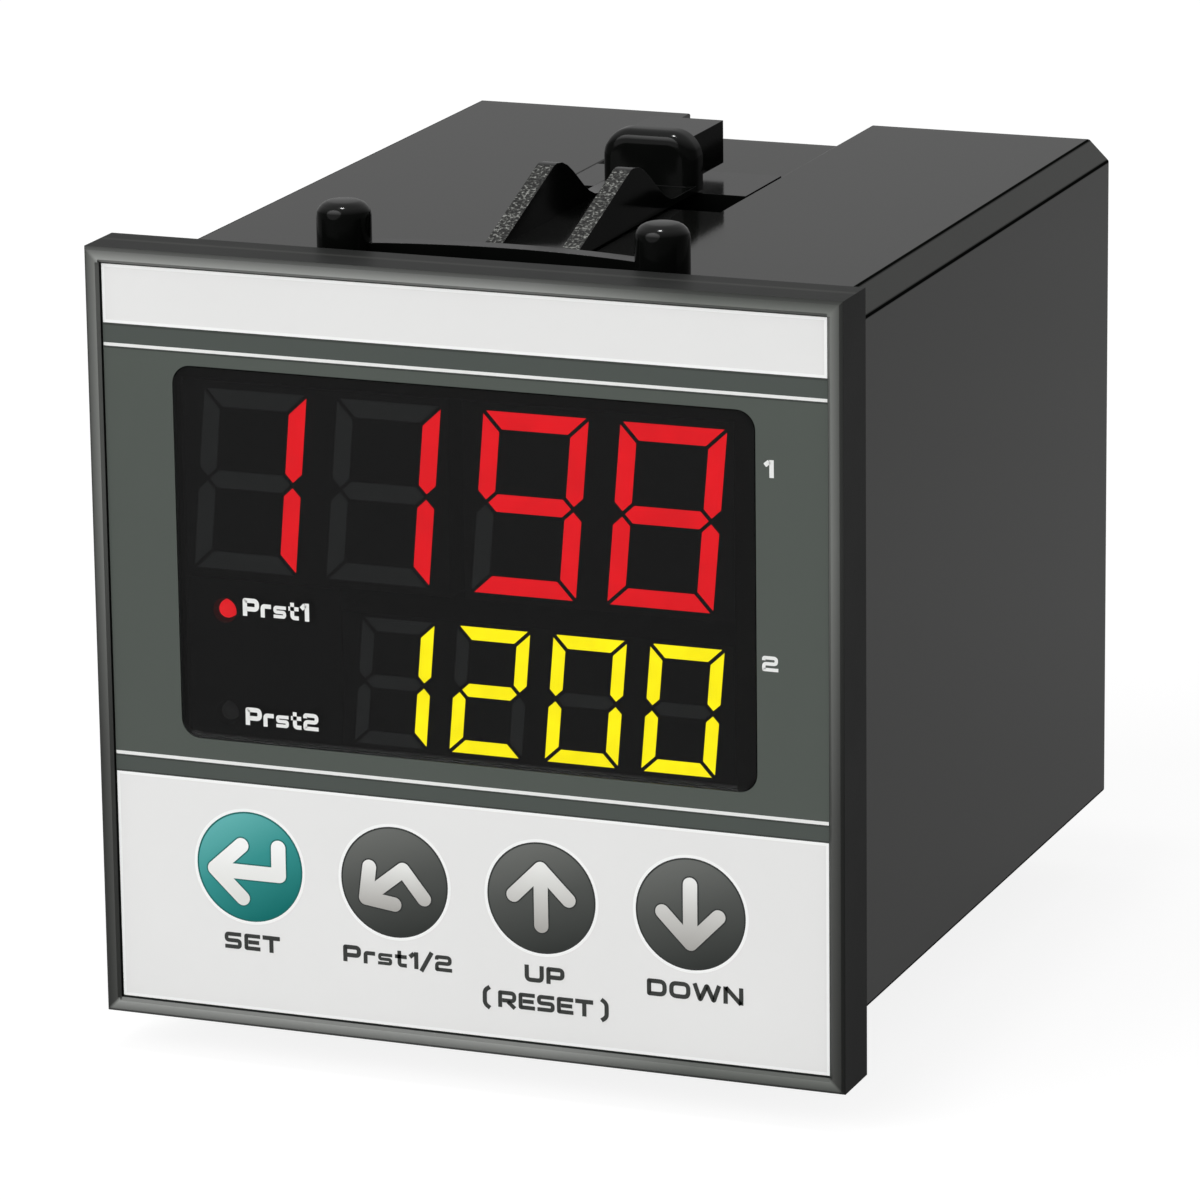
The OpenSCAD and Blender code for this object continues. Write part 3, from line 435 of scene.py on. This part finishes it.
LOOKS = {
    "case": case_plastic, "bezel": frame_plastic, "overlay": film, "display_window": lens,
    "count_display_left": display_black, "count_display_right": display_black,
    "preset_display": display_black, "lamp_holder": display_black,
    "count_lit_segments": red_lit, "preset_lit_segments": yellow_lit,
    "count_dark_segments": dark_segment, "preset_dark_segments": dark_segment,
    "preset_1_lamp": lamp_lit, "preset_2_lamp": lamp_dark,
    "display_board": front_board_mask, "display_board_screws": screw_steel,
    "logic_board": board_mask, "supply_board": board_mask,
    "logic_header": connector_plastic, "supply_header": connector_plastic,
    "logic_socket": connector_plastic, "supply_socket": connector_plastic,
    "microcontroller": connector_plastic,
    "transformer_core": core_steel, "transformer_bobbin": spool_plastic,
    "transformer_winding": copper, "relay_1": relay_plastic, "relay_2": relay_plastic,
    "capacitor_1": can_sleeve, "capacitor_2": can_sleeve,
    "upper_terminals": terminal_plastic, "lower_terminals": terminal_plastic,
    "upper_cages": cage_metal, "lower_cages": cage_metal,
    "upper_screws": screw_steel, "lower_screws": screw_steel,
    "upper_clip": clip_black, "lower_clip": clip_black,
}
for key in KEYS:
    LOOKS[key + "_key"] = plunger_plastic
    LOOKS[key + "_stem"] = stem_plastic
    LOOKS[key + "_switch"] = switch_plastic
for name, look in LOOKS.items():
    mesh = nodes[name].data
    mesh.materials.clear()
    mesh.materials.append(look)

# Moulded edges: the CAD solids keep their vertices, and modifiers round their corners
WELD_REACH = 0.002 * MM
SHARP_ANGLE = math.radians(35)


def soften(name, width, segments=2):
    """Rounds the sharp edges of a solid; width in millimetres."""
    o = nodes[name]
    if o.data.attributes.get("custom_normal"):
        o.data.attributes.remove(o.data.attributes["custom_normal"])
    for p in o.data.polygons:
        p.use_smooth = True
    weld = o.modifiers.new("weld", "WELD")
    weld.merge_threshold = WELD_REACH
    bevel = o.modifiers.new("edge", "BEVEL")
    bevel.width = width * MM
    bevel.segments = segments
    bevel.limit_method = "ANGLE"
    bevel.angle_limit = SHARP_ANGLE
    bevel.harden_normals = True
    bevel.use_clamp_overlap = True


soften("bezel", 0.14)
soften("case", 0.16)
soften("upper_clip", 0.22, 3)
soften("lower_clip", 0.22, 3)

# Flat print on the front sheet, in millimetres of X and Z; a lift is the height over the film
FILM_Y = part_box("overlay")[0].y / MM
PRINT_INSET = 0.05
PRINT_HALF = SHEET_HALF / MM - PRINT_INSET
HEADER_LOW = 29.05
HEADER_SHADE_LOW = 28.82
UPPER_LINE = (26.92, 27.22)
UPPER_LINE_SHADE_LOW = 26.74
LOWER_LINE = (-11.27, -10.95)
LOWER_BAND = (-12.72, -11.45)
KEY_FIELD_TOP = -12.9
EDGE_WIDTH = 0.27
FIELD_LIFT, SHADE_LIFT, LINE_LIFT, EDGE_LIFT = 0.01, 0.012, 0.014, 0.016
JOIN_REACH = 1e-8


def piece(name, build, look):
    """Printed mesh, all its faces turned to the front."""
    mesh = bpy.data.meshes.new(name)
    bm = bmesh.new()
    build(bm)
    bmesh.ops.remove_doubles(bm, verts=bm.verts, dist=JOIN_REACH)
    bmesh.ops.recalc_face_normals(bm, faces=bm.faces)
    for f in bm.faces:
        if f.normal.y > 0:
            f.normal_flip()
    bm.to_mesh(mesh)
    bm.free()
    o = bpy.data.objects.new(name, mesh)
    scene.collection.objects.link(o)
    mesh.materials.append(look)
    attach(o, "housing")


def face(bm, points, y):
    """Polygon from X and Z points; y is a number or a function of the point."""
    at = y if callable(y) else (lambda p: y)
    bm.faces.new([bm.verts.new((p[0] * MM, at(p) * MM, p[1] * MM)) for p in points])


def rectangle(x0, z0, x1, z1, lift):
    def build(bm):
        face(bm, [(x0, z0), (x1, z0), (x1, z1), (x0, z1)], FILM_Y - lift)
    return build


def row(z0, z1, lift):
    """Rectangle across the whole print."""
    return rectangle(-PRINT_HALF, z0, PRINT_HALF, z1, lift)


def border(z0, z1):
    """Four strips round the inside of a row."""
    x0, x1 = -PRINT_HALF, PRINT_HALF
    a0, a1 = x0 + EDGE_WIDTH, x1 - EDGE_WIDTH
    c0, c1 = z0 + EDGE_WIDTH, z1 - EDGE_WIDTH

    def build(bm):
        for corners in ((x0, z0, x1, c0), (x0, c1, x1, z1), (x0, c0, a0, c1), (a1, c0, x1, c1)):
            rectangle(*corners, EDGE_LIFT)(bm)
    return build


piece("print_header", row(HEADER_LOW, PRINT_HALF, FIELD_LIFT), ink_pale)
piece("print_header_edge", border(HEADER_LOW, PRINT_HALF), ink_edge)
piece("print_header_shade", row(HEADER_SHADE_LOW, HEADER_LOW, SHADE_LIFT), ink_shade)
piece("print_upper_band", row(UPPER_LINE[1], HEADER_SHADE_LOW, FIELD_LIFT), ink_band)
piece("print_upper_line", row(*UPPER_LINE, LINE_LIFT), ink_white)
piece("print_upper_line_shade", row(UPPER_LINE_SHADE_LOW, UPPER_LINE[0], LINE_LIFT), ink_shade)
piece("print_lower_line", row(*LOWER_LINE, LINE_LIFT), ink_white)
piece("print_lower_line_shade", row(LOWER_BAND[1], LOWER_LINE[0], LINE_LIFT), ink_shade)
piece("print_lower_band", row(*LOWER_BAND, FIELD_LIFT), ink_band)
piece("print_key_field_shade", row(KEY_FIELD_TOP, LOWER_BAND[0], SHADE_LIFT), ink_shade)
piece("print_key_field", row(-PRINT_HALF, KEY_FIELD_TOP, FIELD_LIFT), ink_pale)
piece("print_key_field_edge", border(-PRINT_HALF, KEY_FIELD_TOP), ink_edge)

# Keys: round printed pads with a slight dome, a dark outline, a white halo and an arrow
KEY_R, PAD_R, HALO_R = 5.22, 5.06, 5.5
HALO_LAP = 0.02
KEY_Z = -20.8
KEY_PITCH = 14.27
DOME = 0.1
RING_STEPS, PAD_ROWS = 72, 8
HALO_LIFT, PAD_LIFT, ARROW_SHADE_LIFT, ARROW_LIFT = 0.02, 0.024, 0.034, 0.044
STROKE_LIFT = 0.002
# Widths of an arrow and of the shade round it
SET_ARROW, GREY_ARROW = (1.42, 1.66), (1.36, 1.62)
CAP_STEPS = 8
STROKE_STEP = 0.4
TINY = 1e-6


def dome(cx, lift):
    """Depth over a key as a function of the point."""
    def y(p):
        q = ((p[0] - cx) ** 2 + (p[1] - KEY_Z) ** 2) / (KEY_R * KEY_R)
        return FILM_Y - lift - DOME * max(0.0, 1 - q)
    return y


def ring(cx, r0, r1, lift, rows=1):
    """Ring over a key, or a disc where r0 is 0."""
    def build(bm):
        y = dome(cx, lift)
        for j in range(rows):
            a0 = r0 + (r1 - r0) * j / rows
            a1 = r0 + (r1 - r0) * (j + 1) / rows
            for i in range(RING_STEPS):
                p = 2 * math.pi * i / RING_STEPS
                q = 2 * math.pi * (i + 1) / RING_STEPS
                points = [(cx + r * math.cos(a), KEY_Z + r * math.sin(a))
                          for r, a in ((a0, p), (a1, p), (a1, q), (a0, q))]
                if a0 < TINY:
                    points = points[1:3] + [(cx, KEY_Z)]
                face(bm, points, y)
    return build


def capsule(bm, a, b, width, y):
    """Straight stroke with round ends, as one strip of cross sections."""
    a, b, r = Vector(a), Vector(b), width / 2
    along = (b - a).normalized()
    across = Vector((-along.y, along.x))
    length = (b - a).length
    angles = [math.pi / 2 * k / CAP_STEPS for k in range(CAP_STEPS + 1)]
    cap = [(-r * math.cos(t), r * math.sin(t)) for t in angles]
    count = max(1, int(length / STROKE_STEP))
    rows = cap + [(length * k / count, r) for k in range(1, count)]
    rows += [(length - d, w) for d, w in reversed(cap)]
    edges = [(a + along * d + across * w, a + along * d - across * w) for d, w in rows]
    for (p, q), (u, v) in zip(edges, edges[1:]):
        points = [tuple(p), tuple(q), tuple(v), tuple(u)]
        if (p - q).length < TINY:
            points = points[1:]
        elif (u - v).length < TINY:
            points = points[:3]
        face(bm, points, y)


def arrow(cx, strokes, width, lift):
    """Each stroke lies a hair above the one before."""
    def build(bm):
        lines = [line for s in strokes for line in zip(s, s[1:])]
        for k, ends in enumerate(lines):
            a, b = [(cx + x, KEY_Z + z) for x, z in ends]
            capsule(bm, a, b, width, dome(cx, lift + STROKE_LIFT * k))
    return build


ARROWS = {
    "set": [[(-0.75, 2.0), (-3.45, -0.45), (-0.75, -3.0)], [(-3.0, -0.5), (2.9, -0.5), (2.9, 2.1)]],
    "preset": [[(-2.4, 1.25), (-2.8, -1.7), (0.0, -2.05)], [(-2.6, -1.5), (0.9, 1.3), (2.9, -1.25)]],
    "up": [[(-2.65, 0.1), (0.0, 2.75), (2.65, 0.1)], [(0.0, 2.5), (0.0, -2.55)]],
    "down": [[(-2.65, 0.0), (0.0, -2.7), (2.65, 0.0)], [(0.0, -2.4), (0.0, 2.75)]],
}


def print_key(key, cx, pad, rim, tip, widths):
    """All printed pieces of one key."""
    width, shade_width = widths
    piece(key + "_pad_halo", ring(cx, KEY_R - HALO_LAP, HALO_R, HALO_LIFT), ink_edge)
    piece(key + "_pad_rim", ring(cx, PAD_R, KEY_R, PAD_LIFT), rim)
    piece(key + "_pad", ring(cx, 0.0, PAD_R, PAD_LIFT, PAD_ROWS), pad)
    piece(key + "_arrow_shade", arrow(cx, ARROWS[key], shade_width, ARROW_SHADE_LIFT), rim)
    piece(key + "_arrow", arrow(cx, ARROWS[key], width, ARROW_LIFT), tip)


for i, key in enumerate(KEYS):
    cx = (i - (len(KEYS) - 1) / 2) * KEY_PITCH
    if key == "set":
        print_key(key, cx, key_teal, rim_teal, arrow_white, SET_ARROW)
    else:
        print_key(key, cx, key_grey, rim_grey, arrow_grey, GREY_ARROW)

# Legends: square-built strokes, one mesh to each legend; a unit is the height of a capital
PEN = 0.256
FINE_PEN = {"s": 0.19, "2": 0.22, "S": 0.236, "E": 0.236, "R": 0.24, "t": 0.23, "r": 0.24}
# Half a pen, the heights of a capital's upper, middle and lower strokes, and the height of small letters
H = PEN / 2
TOP, MID, LOW = 1 - H, 0.5, H
SMALL = 0.76
LEGEND_LIFT = 0.03
CORNER_STEPS = 6
MITRE_LIMIT = 2.0
MITRE_LEAST = 0.35
STRAIGHT = 1e-3

GLYPH_WIDTH = {"S": 1.08, "E": 1.0, "T": 1.08, "P": 1.1, "R": 1.12, "U": 1.16, "D": 1.18, "O": 1.26,
               "W": 1.66, "N": 1.18, "1": 0.56, "2": 1.06, "/": 0.7, "(": 0.44, ")": 0.44, " ": 0.25,
               "r": 0.72, "s": 0.92, "t": 0.72}


def stroke(points, radii=0, closed=False):
    """Line of a glyph; radii is one number or one for each point."""
    return points, radii, closed


# Strokes of each glyph from its width
GLYPHS = {
    " ": lambda w: [],
    "S": lambda w: [stroke([(w - 0.03, TOP), (H, TOP), (H, MID), (w - H, MID), (w - H, LOW),
                            (0.03, LOW)], 0.16)],
    "E": lambda w: [stroke([(w, TOP), (H, TOP), (H, LOW), (w, LOW)], 0.04),
                    stroke([(PEN, MID), (w - 0.07, MID)])],
    "T": lambda w: [stroke([(0, TOP), (w, TOP)]), stroke([(w / 2, 1 - PEN), (w / 2, 0)])],
    "P": lambda w: [stroke([(H, 0), (H, TOP), (w - H, TOP), (w - H, 0.4), (PEN, 0.4)],
                           [0, 0.03, 0.2, 0.2, 0])],
    "R": lambda w: [stroke([(H, 0), (H, TOP), (w - H, TOP), (w - H, 0.42), (PEN, 0.42)],
                           [0, 0.03, 0.2, 0.2, 0]),
                    stroke([(w - 0.52, 0.36), (w - 0.1, 0.0)])],
    "U": lambda w: [stroke([(H, 1), (H, LOW), (w - H, LOW), (w - H, 1)], 0.24)],
    "D": lambda w: [stroke([(H, LOW), (H, TOP), (w - H, TOP), (w - H, LOW)],
                           [0.03, 0.03, 0.3, 0.3], True)],
    "O": lambda w: [stroke([(H, LOW), (H, TOP), (w - H, TOP), (w - H, LOW)], 0.3, True)],
    "W": lambda w: [stroke([(0.1, 1), (0.43, 0.06), (w / 2, 0.94), (w - 0.43, 0.06), (w - 0.1, 1)],
                           0.05)],
    "N": lambda w: [stroke([(H, 0), (H, 1)]), stroke([(w - H, 0), (w - H, 1)]),
                    stroke([(0.14, 0.96), (w - 0.14, 0.04)])],
    "1": lambda w: [stroke([(w - H, 0), (w - H, 1)]), stroke([(0.04, 0.68), (w - PEN, 0.9)])],
    "2": lambda w: [stroke([(H, 0.7), (H, TOP), (w - H, TOP), (w - H, MID), (H, MID), (H, LOW),
                            (w, LOW)], [0, 0.16, 0.18, 0.18, 0.18, 0.03, 0])],
    "/": lambda w: [stroke([(0.02, -0.1), (w - 0.02, 1.08)])],
    "(": lambda w: [stroke([(w, 1.12), (H, 0.9), (H, 0.1), (w, -0.12)], 0.4)],
    ")": lambda w: [stroke([(0, 1.12), (w - H, 0.9), (w - H, 0.1), (0, -0.12)], 0.4)],
    "r": lambda w: [stroke([(H, 0), (H, SMALL - H), (w, SMALL - H)], 0.14)],
    "s": lambda w: [stroke([(w - 0.02, SMALL - H), (H, SMALL - H), (H, SMALL / 2), (w - H, SMALL / 2),
                            (w - H, LOW), (0.02, LOW)], 0.1)],
    "t": lambda w: [stroke([(0.27, 0.98), (0.27, LOW), (w, LOW)], 0.16),
                    stroke([(0, SMALL - H), (w, SMALL - H)])],
}


def rounded_corner(p, a, b, r):
    """Points of a short curve at corner p between neighbours a and b, or p alone where it is sharp."""
    u, w = (a - p).normalized(), (b - p).normalized()
    turn = math.pi - u.angle(w)
    if r < TINY or turn < STRAIGHT:
        return [tuple(p)]
    cut = min(r * math.tan(turn / 2), (a - p).length * 0.5, (b - p).length * 0.5)
    s, e = p + u * cut, p + w * cut
    steps = [k / CORNER_STEPS for k in range(CORNER_STEPS + 1)]
    return [tuple(s * (1 - t) ** 2 + p * (2 * t * (1 - t)) + e * t ** 2) for t in steps]


def rounded(points, radii, closed):
    """Polyline with its corners rounded."""
    n = len(points)
    out = []
    for i, r in enumerate(radii):
        if not closed and i in (0, n - 1):
            out.append(points[i])
        else:
            out += rounded_corner(Vector(points[i]), Vector(points[i - 1]), Vector(points[(i + 1) % n]), r)
    return out


def ribbon(bm, points, width, y, closed):
    """Band of one width along a polyline, mitred at its corners."""
    n = len(points)
    left, right = [], []
    for i in range(n):
        p = Vector(points[i])
        before = Vector(points[i - 1]) if (i > 0 or closed) else None
        after = Vector(points[(i + 1) % n]) if (i < n - 1 or closed) else None
        d0 = (p - before).normalized() if before else (after - p).normalized()
        d1 = (after - p).normalized() if after else d0
        d = (d0 + d1).normalized()
        aside = Vector((-d.y, d.x)) * (width / 2 * min(1 / max(d.dot(d1), MITRE_LEAST), MITRE_LIMIT))
        left.append(p + aside)
        right.append(p - aside)
    for i in range(n if closed else n - 1):
        j = (i + 1) % n
        face(bm, [tuple(left[i]), tuple(right[i]), tuple(right[j]), tuple(left[j])], y)


def legend(name, text, x, z, cap, look, align="centre", gap=0.15, wide=1.0):
    """Line of text; x is its middle or its left end, z its mid-height, cap the height of a capital."""
    total = (sum(GLYPH_WIDTH[c] for c in text) + gap * (len(text) - 1)) * cap * wide
    start = x - total / 2 if align == "centre" else x

    def build(bm):
        pen = start
        for c in text:
            for points, radii, closed in GLYPHS[c](GLYPH_WIDTH[c]):
                line = [(pen + px * cap * wide, z - cap / 2 + pz * cap) for px, pz in points]
                each = radii if isinstance(radii, list) else [radii] * len(points)
                path = rounded(line, [r * cap for r in each], closed)
                ribbon(bm, path, FINE_PEN.get(c, PEN) * cap, FILM_Y - LEGEND_LIFT, closed)
            pen += (GLYPH_WIDTH[c] + gap) * cap * wide
    piece(name, build, look)


KEY_CAP, LAMP_CAP = 1.6, 1.66
KEY_LEGEND_Z = -28.0
LAMP_LEGEND_X = -21.39
LAMP_LEGEND_WIDE = 0.84
ROW_LEGEND_X = 29.05

legend("legend_set", "SET", -21.36, KEY_LEGEND_Z, KEY_CAP, ink_text)
legend("legend_preset", "Prst1/2", -6.99, KEY_LEGEND_Z, KEY_CAP, ink_text)
legend("legend_up", "UP", 7.34, KEY_LEGEND_Z, KEY_CAP, ink_text)
legend("legend_reset", "( RESET )", 7.39, -30.7, KEY_CAP, ink_text, gap=0.12)
legend("legend_down", "DOWN", 21.76, KEY_LEGEND_Z, KEY_CAP, ink_text)
legend("legend_first", "1", ROW_LEGEND_X, 20.58, KEY_CAP, ink_white)
legend("legend_second", "2", ROW_LEGEND_X, 2.98, 1.45, ink_white)
for number, z in ((1, 3.73), (2, -6.5)):
    legend(f"legend_lamp_{number}", f"Prst{number}", LAMP_LEGEND_X, z, LAMP_CAP, ink_white, align="left",
           wide=LAMP_LEGEND_WIDE)

# Floor and world: light on the object at a plain level, and white where the camera sees them
FLOOR_Z = cad_low[2]
FLOOR_REACH = 6.0
FLOOR_TONE = (0.49, 0.51)
FLOOR_LESS_SEEN, FLOOR_LESS_GLOSSY = 0.29, 0.35
FLOOR_OWN_SEEN, FLOOR_OWN_GLOSSY = 0.86, 0.22
WORLD_LIGHT, WORLD_GLOSSY, WORLD_SEEN = 0.45, 0.345, 1.0
LAMP_AIM = Vector((0, 30 * MM, 0))


def floor_white():
    """White floor that keeps the shadow: part of its white is its own for rays that see it."""
    m, tree, shader = new_material("floor_white")
    tree.nodes.remove(shader)
    rays = add(tree, "ShaderNodeLightPath").outputs
    seen, glossy = rays["Is Camera Ray"], rays["Is Glossy Ray"]
    given = drift(tree, noise(tree, 6.0, 2.0), *FLOOR_TONE)
    given = maths(tree, "SUBTRACT", given, times(tree, seen, FLOOR_LESS_SEEN))
    given = maths(tree, "SUBTRACT", given, times(tree, glossy, FLOOR_LESS_GLOSSY))
    own = maths(tree, "ADD", times(tree, seen, FLOOR_OWN_SEEN), times(tree, glossy, FLOOR_OWN_GLOSSY))
    matt = add(tree, "ShaderNodeBsdfDiffuse")
    tree.links.new(given, matt.inputs["Color"])
    light = add(tree, "ShaderNodeEmission")
    tree.links.new(own, light.inputs["Strength"])
    both = add(tree, "ShaderNodeAddShader")
    tree.links.new(matt.outputs["BSDF"], both.inputs[0])
    tree.links.new(light.outputs["Emission"], both.inputs[1])
    tree.links.new(both.outputs["Shader"], tree.nodes["Material Output"].inputs["Surface"])
    return m


def lay_floor():
    corners = [(x * FLOOR_REACH, y * FLOOR_REACH, FLOOR_Z) for x, y in ((-1, -1), (1, -1), (1, 1), (-1, 1))]
    mesh = bpy.data.meshes.new("floor")
    mesh.from_pydata(corners, [], [(0, 1, 2, 3)])
    mesh.materials.append(floor_white())
    o = bpy.data.objects.new("floor", mesh)
    scene.collection.objects.link(o)


def light_world():
    world = bpy.data.worlds.new("studio")
    scene.world = world
    world.use_nodes = True
    tree = world.node_tree
    sky = tree.nodes["Background"]
    sky.inputs["Color"].default_value = (1, 1, 1, 1)
    rays = add(tree, "ShaderNodeLightPath").outputs
    studio = span(tree, rays["Is Glossy Ray"], 0.0, 1.0, WORLD_LIGHT, WORLD_GLOSSY)
    backdrop = times(tree, rays["Is Camera Ray"], WORLD_SEEN - WORLD_LIGHT)
    tree.links.new(maths(tree, "ADD", studio, backdrop), sky.inputs["Strength"])


def lamp(name, direction, distance, size, watts):
    """Round soft lamp that faces the middle of the part."""
    data = bpy.data.lights.new(name, "AREA")
    data.shape = "DISK"
    data.size = size
    data.energy = watts
    o = bpy.data.objects.new(name, data)
    d = Vector(direction).normalized()
    o.location = d * distance + LAMP_AIM
    o.rotation_euler = d.to_track_quat("Z", "Y").to_euler()
    scene.collection.objects.link(o)


lay_floor()
light_world()
lamp("key_softbox", (-0.38, -0.76, 0.5), 1.8, 2.0, 25.5)
lamp("top_lamp", (-0.06, -0.1, 1.0), 1.2, 0.16, 2.2)

# Camera at the photograph's viewing angle, as fitted to the corners of the frame and the case
AZIMUTH, ELEVATION, ROLL = math.radians(21.5), math.radians(15.21), math.radians(-0.71)
TARGET = Vector((10.92, 0, 5.74)) * MM
DISTANCE = 621.4 * MM
FOCAL_LENGTH, SENSOR_WIDTH = 209.43, 36
NEAREST, FARTHEST = 0.01, 50


def set_camera():
    back = Vector((math.sin(AZIMUTH) * math.cos(ELEVATION), -math.cos(AZIMUTH) * math.cos(ELEVATION),
                   math.sin(ELEVATION)))
    level = Vector((0, 0, 1)).cross(back).normalized()
    upright = back.cross(level)
    right = level * math.cos(ROLL) + upright * math.sin(ROLL)
    up = upright * math.cos(ROLL) - level * math.sin(ROLL)
    eye = TARGET + back * DISTANCE
    data = bpy.data.cameras.new("camera")
    data.lens = FOCAL_LENGTH
    data.sensor_width = SENSOR_WIDTH
    data.clip_start = NEAREST
    data.clip_end = FARTHEST
    o = bpy.data.objects.new("camera", data)
    o.matrix_world = Matrix(((right.x, up.x, back.x, eye.x), (right.y, up.y, back.y, eye.y),
                             (right.z, up.z, back.z, eye.z), (0, 0, 0, 1)))
    scene.collection.objects.link(o)
    scene.camera = o


set_camera()
scene.view_settings.view_transform = "Standard"
